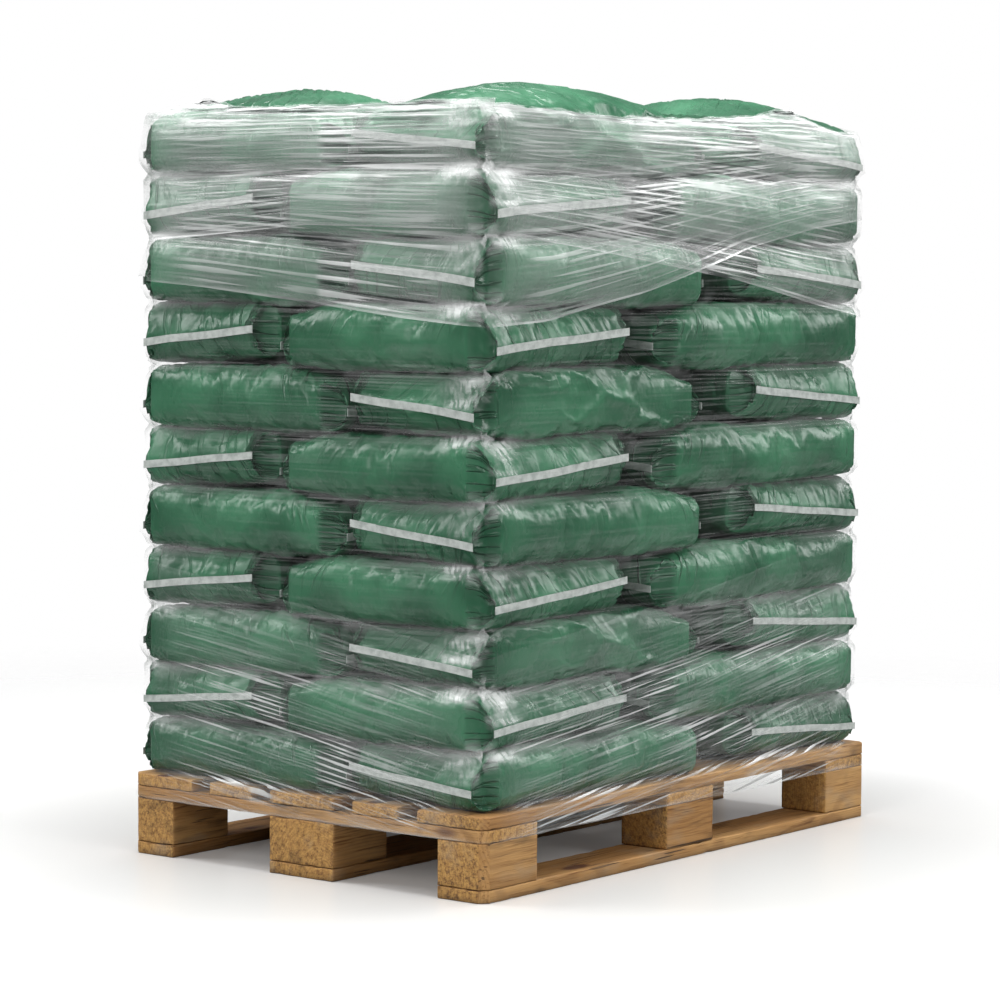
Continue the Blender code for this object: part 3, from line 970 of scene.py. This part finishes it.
timberForm = {
    "edgeRound": 0.0022,
    "slice": 0.014,
    "rough": 0.0004,
    "chip": 0.0022,
    "nailHead": 0.0042,
    "nailProud": 0.0004,
}
timberLook = {
    "pale": (0.58, 0.335, 0.125, 1),
    "tan": (0.40, 0.200, 0.060, 1),
    "late": (0.19, 0.082, 0.022, 1),
    "endPale": (0.60, 0.340, 0.100, 1),
    "knot": (0.110, 0.036, 0.012, 1),
    "dirt": (0.050, 0.028, 0.012, 1),
    "grey": (0.36, 0.28, 0.19, 1),
}


def palletTimber(name, alongY):
    # a solid wood pattern: year rings round a pith that lies beside each board
    r = Recipe(name, Base_Color=timberLook["pale"], Roughness=0.72)
    x, y, z = r.parts(r.node("ShaderNodeTexCoord", out=3))
    nx, ny, nz = r.parts(r.node("ShaderNodeTexCoord", out=1))
    shift = r.attribute("board")
    along, across, facing = (y, x, ny) if alongY else (x, y, nx)
    end = r.range(facing * facing, 0.45, 0.7)
    side = 1 - end
    # each board has its own tone, and wide soft bands along it
    tone = r.noise(r.join(along * 2.2 + shift * 53, across * 11, z * 11), 1.0, 3, 0.6)
    tone = tone + (shift - 0.5) * 0.22
    colour = r.blend(r.range(tone, 0.30, 0.72), timberLook["pale"], timberLook["tan"])
    # year rings, drawn out into arches and lines
    wander = r.noise(r.join(along * 1.3 + shift * 37, across * 3.0, z * 3.0), 1.0, 2, 0.5)
    knotCell = r.node("ShaderNodeTexVoronoi", {"feature": "F1"}, Scale=1.0,
                      Vector=r.join(along * 4.4 + shift * 91, across * 11, z * 11))
    nearKnot = r.range(knotCell, 0.50, 0.08)
    off = across + shift * 0.21 - 0.08 + (wander - 0.5) * 0.06 + nearKnot * 0.008
    deep = z + shift * 0.35 - 0.22 + (wander - 0.5) * 0.04
    radius = (off * off + deep * deep).math("SQRT")
    uneven = r.noise(r.join(along * 3.0, radius * 70, shift * 11), 1.0, 2, 0.6)
    ring = r.range((radius * 1150 + uneven * 9.0).math("SINE"), -0.2, 1.0)
    fibre = r.noise(r.join(along * 9, across * 300, z * 300), 1.0, 2, 0.6)
    lines = ring * (uneven * 0.9) * (0.30 + side * 0.45) + r.range(fibre, 0.52, 0.74) * side * 0.75
    colour = r.blend(lines, colour, timberLook["late"])
    # sawn end grain: golden, coarsely speckled, darker low down
    coarse = r.noise(r.join(x * 110, y * 110, z * 110), 1.0, 3, 0.7)
    speck = r.noise(r.join(x * 330, y * 330, z * 330), 1.0, 1, 0.7)
    cut = r.blend(r.range(coarse, 0.35, 0.65), timberLook["endPale"], timberLook["tan"])
    cut = r.blend(r.range(coarse * 0.45 + speck * 0.3 + tone * 0.25, 0.50, 0.66) * 0.75, cut, timberLook["dirt"])
    cut = r.blend(ring * 0.22, cut, timberLook["late"])
    colour = r.blend(end, colour, cut)
    knot = r.range(knotCell, 0.20, 0.10)
    colour = r.blend(knot * side, colour, timberLook["knot"])
    crack = r.range(r.noise(r.join(along * 5 + shift * 19, across * 140, z * 140), 1.0, 1, 0.5), 0.66, 0.70)
    crack = crack * r.range(tone, 0.42, 0.60) * side
    stain = r.noise(r.join(along * 6, across * 14 + shift * 5, z * 14), 1.0, 3, 0.65)
    colour = r.blend(r.range(stain, 0.48, 0.30) * 0.40, colour, timberLook["grey"])
    # darker in the stains, along the cracks and in the lowest 16 mm above the floor
    darkening = r.range(stain, 0.54, 0.74) * 0.60 + r.range(z, 0.016, 0.0) * 0.40 + crack * 0.9
    colour = r.blend(r.node("ShaderNodeMath", {"operation": "MINIMUM"}, darkening, 0.88), colour, timberLook["dirt"])
    grain = fibre * side * 0.0013 + (coarse * 1.4 + speck) * end * 0.0012 - crack * 0.0016 - knot * side * 0.0005
    return r.done(Base_Color=colour, Roughness=r.range(fibre, 0.3, 0.7, 0.60, 0.85), Normal=r.bump(grain, 1.0, 1.0))


def timberPiece(node, wood, seed):
    # a rough-sawn copy of a CAD board or block: edges worn round, faces a little uneven, corners chipped
    form = timberForm
    mesh = bpy.data.meshes.new(node + "Timber")
    bm = bmesh.new()
    bm.from_mesh(bpy.data.objects[node].data)
    bmesh.ops.remove_doubles(bm, verts=bm.verts, dist=1e-5)
    bmesh.ops.dissolve_limit(bm, angle_limit=math.radians(2), verts=bm.verts, edges=bm.edges)
    bmesh.ops.bevel(bm, geom=bm.edges[:], offset=form["edgeRound"], segments=2, profile=0.6, affect="EDGES")
    low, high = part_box(node)
    for axis in range(3):
        size = high[axis] - low[axis]
        margin = 0.007
        cuts = max(2, int((size - 2 * margin) / form["slice"]) + 1)
        for place in np.linspace(low[axis] + margin, high[axis] - margin, cuts):
            at, way = [0, 0, 0], [0, 0, 0]
            at[axis], way[axis] = float(place), 1
            bmesh.ops.bisect_plane(bm, geom=bm.verts[:] + bm.edges[:] + bm.faces[:], plane_co=at, plane_no=way, dist=1e-5)
    bm.normal_update()
    p = np.array([vertex.co[:] for vertex in bm.verts])
    n = np.array([vertex.normal[:] for vertex in bm.verts])
    size = np.array(high) - np.array(low)
    toFace = np.sort(np.minimum(p - np.array(low), np.array(high) - p), axis=1)
    edge = np.exp(-toFace[:, 1] / 0.0045)
    rough = ripple(p[:, 0] * 60 + p[:, 2] * 47, p[:, 1] * 60 + p[:, 2] * 31, seed)
    broad = ripple(p[:, 0] * 7 + p[:, 2] * 5, p[:, 1] * 9 + seed, seed + 1)
    chips = smooth(0.25, 0.8, ripple(p[:, 0] * 38 + p[:, 1] * 29, p[:, 2] * 61 + p[:, 1] * 33, seed + 2)) * edge
    move = form["rough"] * rough - 0.0005 * np.abs(broad) - form["chip"] * chips
    p = p + n * move[:, None]
    for vertex, place in zip(bm.verts, p):
        vertex.co = place
    bm.to_mesh(mesh)
    bm.free()
    mesh.polygons.foreach_set("use_smooth", [True] * len(mesh.polygons))
    mesh.materials.append(wood)
    layer = mesh.attributes.new("board", "FLOAT", "POINT")
    layer.data.foreach_set("value", [float(np.random.default_rng(seed).random())] * len(mesh.vertices))
    board = bpy.data.objects.new(node + "Timber", mesh)
    bpy.context.scene.collection.objects.link(board)
    return board


def nailSteel():
    r = Recipe("nailSteel", Base_Color=(0.20, 0.17, 0.15, 1), Metallic=0.85, Roughness=0.5)
    place = r.node("ShaderNodeTexCoord", out=3)
    rust = r.range(r.noise(place, 380, 3, 0.6), 0.42, 0.62)
    colour = r.blend(rust, (0.24, 0.23, 0.22, 1), (0.11, 0.045, 0.018, 1))
    return r.done(Base_Color=colour, Roughness=r.range(rust, 0, 1, 0.38, 0.8), Metallic=1 - rust * 0.8)


def nailTree(steel):
    tree = bpy.data.node_groups.new("nailHeads", "GeometryNodeTree")
    inputs = {}
    for label, kind, value in (("Geometry", "NodeSocketGeometry", None), ("Head Radius", "NodeSocketFloat", 0.004),
                               ("Head Height", "NodeSocketFloat", 0.0012), ("Tilt", "NodeSocketFloat", 0.08),
                               ("Seed", "NodeSocketInt", 4)):
        socket = tree.interface.new_socket(label, in_out="INPUT", socket_type=kind)
        if value is not None:
            socket.default_value = value
        inputs[label] = socket.identifier
    tree.interface.new_socket("Geometry", in_out="OUTPUT", socket_type="NodeSocketGeometry")
    enter, leave = tree.nodes.new("NodeGroupInput"), tree.nodes.new("NodeGroupOutput")
    head = tree.nodes.new("GeometryNodeMeshCylinder")
    head.inputs["Vertices"].default_value = 14
    turn = tree.nodes.new("FunctionNodeRandomValue")
    turn.data_type = "FLOAT_VECTOR"
    spin = tree.nodes.new("ShaderNodeCombineXYZ")
    spin.inputs["Z"].default_value = 3.1
    tree.links.new(enter.outputs["Tilt"], spin.inputs["X"])
    tree.links.new(enter.outputs["Tilt"], spin.inputs["Y"])
    tree.links.new(spin.outputs[0], turn.inputs["Max"])
    tree.links.new(enter.outputs["Seed"], turn.inputs["Seed"])
    tree.links.new(enter.outputs["Head Radius"], head.inputs["Radius"])
    tree.links.new(enter.outputs["Head Height"], head.inputs["Depth"])
    place = tree.nodes.new("GeometryNodeInstanceOnPoints")
    tree.links.new(enter.outputs["Geometry"], place.inputs["Points"])
    tree.links.new(head.outputs["Mesh"], place.inputs["Instance"])
    tree.links.new(turn.outputs[0], place.inputs["Rotation"])
    real = tree.nodes.new("GeometryNodeRealizeInstances")
    paint = tree.nodes.new("GeometryNodeSetMaterial")
    paint.inputs["Material"].default_value = steel
    tree.links.new(place.outputs[0], real.inputs[0])
    tree.links.new(real.outputs[0], paint.inputs["Geometry"])
    tree.links.new(paint.outputs[0], leave.inputs[0])
    return tree, inputs


def buildNails(steel):
    # two or three nails where a deck board crosses a cross board, and through each bottom board into its blocks
    form, points = timberForm, []
    for deck in range(1, 6):
        low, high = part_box(f"deck_board_{deck}")
        for cross in range(1, 4):
            crossLow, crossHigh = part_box(f"cross_board_{cross}")
            many = 3 if high[1] - low[1] > 0.12 else 2
            for k in range(many):
                share = (k + 0.5) / many
                x = crossLow[0] + (crossHigh[0] - crossLow[0]) * (0.32 if k % 2 else 0.68)
                points.append((x, low[1] + (high[1] - low[1]) * share, high[2] + form["nailProud"] - 0.0006))
    for row in range(1, 4):
        for column in range(1, 4):
            low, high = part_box(f"block_{row}{column}")
            for k in range(3):
                x = low[0] + (high[0] - low[0]) * (0.25 + 0.25 * k)
                y = low[1] + (high[1] - low[1]) * (0.35 if k % 2 else 0.65)
                points.append((x, y, 0.0006 + form["nailProud"]))
    mesh = bpy.data.meshes.new("nailPoints")
    mesh.from_pydata(points, [], [])
    holder = bpy.data.objects.new("nailPoints", mesh)
    bpy.context.scene.collection.objects.link(holder)
    tree, inputs = nailTree(steel)
    run = holder.modifiers.new("heads", "NODES")
    run.node_group = tree
    run[inputs["Head Radius"]] = form["nailHead"]
    shape = bpy.data.meshes.new_from_object(holder.evaluated_get(bpy.context.evaluated_depsgraph_get()))
    bpy.data.objects.remove(holder, do_unlink=True)
    heads = bpy.data.objects.new("nailHeads", shape)
    bpy.context.scene.collection.objects.link(heads)
    print("nail heads ready:", len(points))
    return heads


def buildPallet():
    timberX, timberY = palletTimber("timberLongways", False), palletTimber("timberCrossways", True)
    boards = []
    names = [f"bottom_board_{k}" for k in (1, 2, 3)] + [f"block_{a}{b}" for a in (1, 2, 3) for b in (1, 2, 3)]
    names += [f"cross_board_{k}" for k in (1, 2, 3)] + [f"deck_board_{k}" for k in (1, 2, 3, 4, 5)]
    for place, node in enumerate(names):
        wood = timberY if node.startswith("cross") else timberX
        boards.append((timberPiece(node, wood, 300 + 7 * place), node))
    print("pallet ready:", len(boards), "pieces of timber")
    return boards


def main():
    buildStudio()
    levels = layerLevels()
    boards = buildPallet()
    nails = buildNails(nailSteel())
    plastic, paper = sackPlastic(), tapePaper()
    sacks, tape = buildSacks(levels, plastic, paper)
    wraps = buildWrap([sack for sack, _, _ in sacks] + [board for board, _ in boards] + [tape], levels, wrapFilm())
    for board, node in boards:
        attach(board, root)
        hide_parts(node)
    for sack, name, number in sacks:
        node = f"sack_layer_{number:02d}" if number < 3 else f"sack_{number:02d}_{name.lower()}"
        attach(sack, root)
        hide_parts(node)
    # the corner sacks of all layers, gathered in a list
    cornerSacks = [sack for sack, name, _ in sacks if name == "Corner"]
    for sheet, meanHeight, mostHeight in wraps:
        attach(sheet, root)
        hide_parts("stretch_film")
        meanHeight * 4.05
    for extra in (tape, nails):
        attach(extra, root)


main()
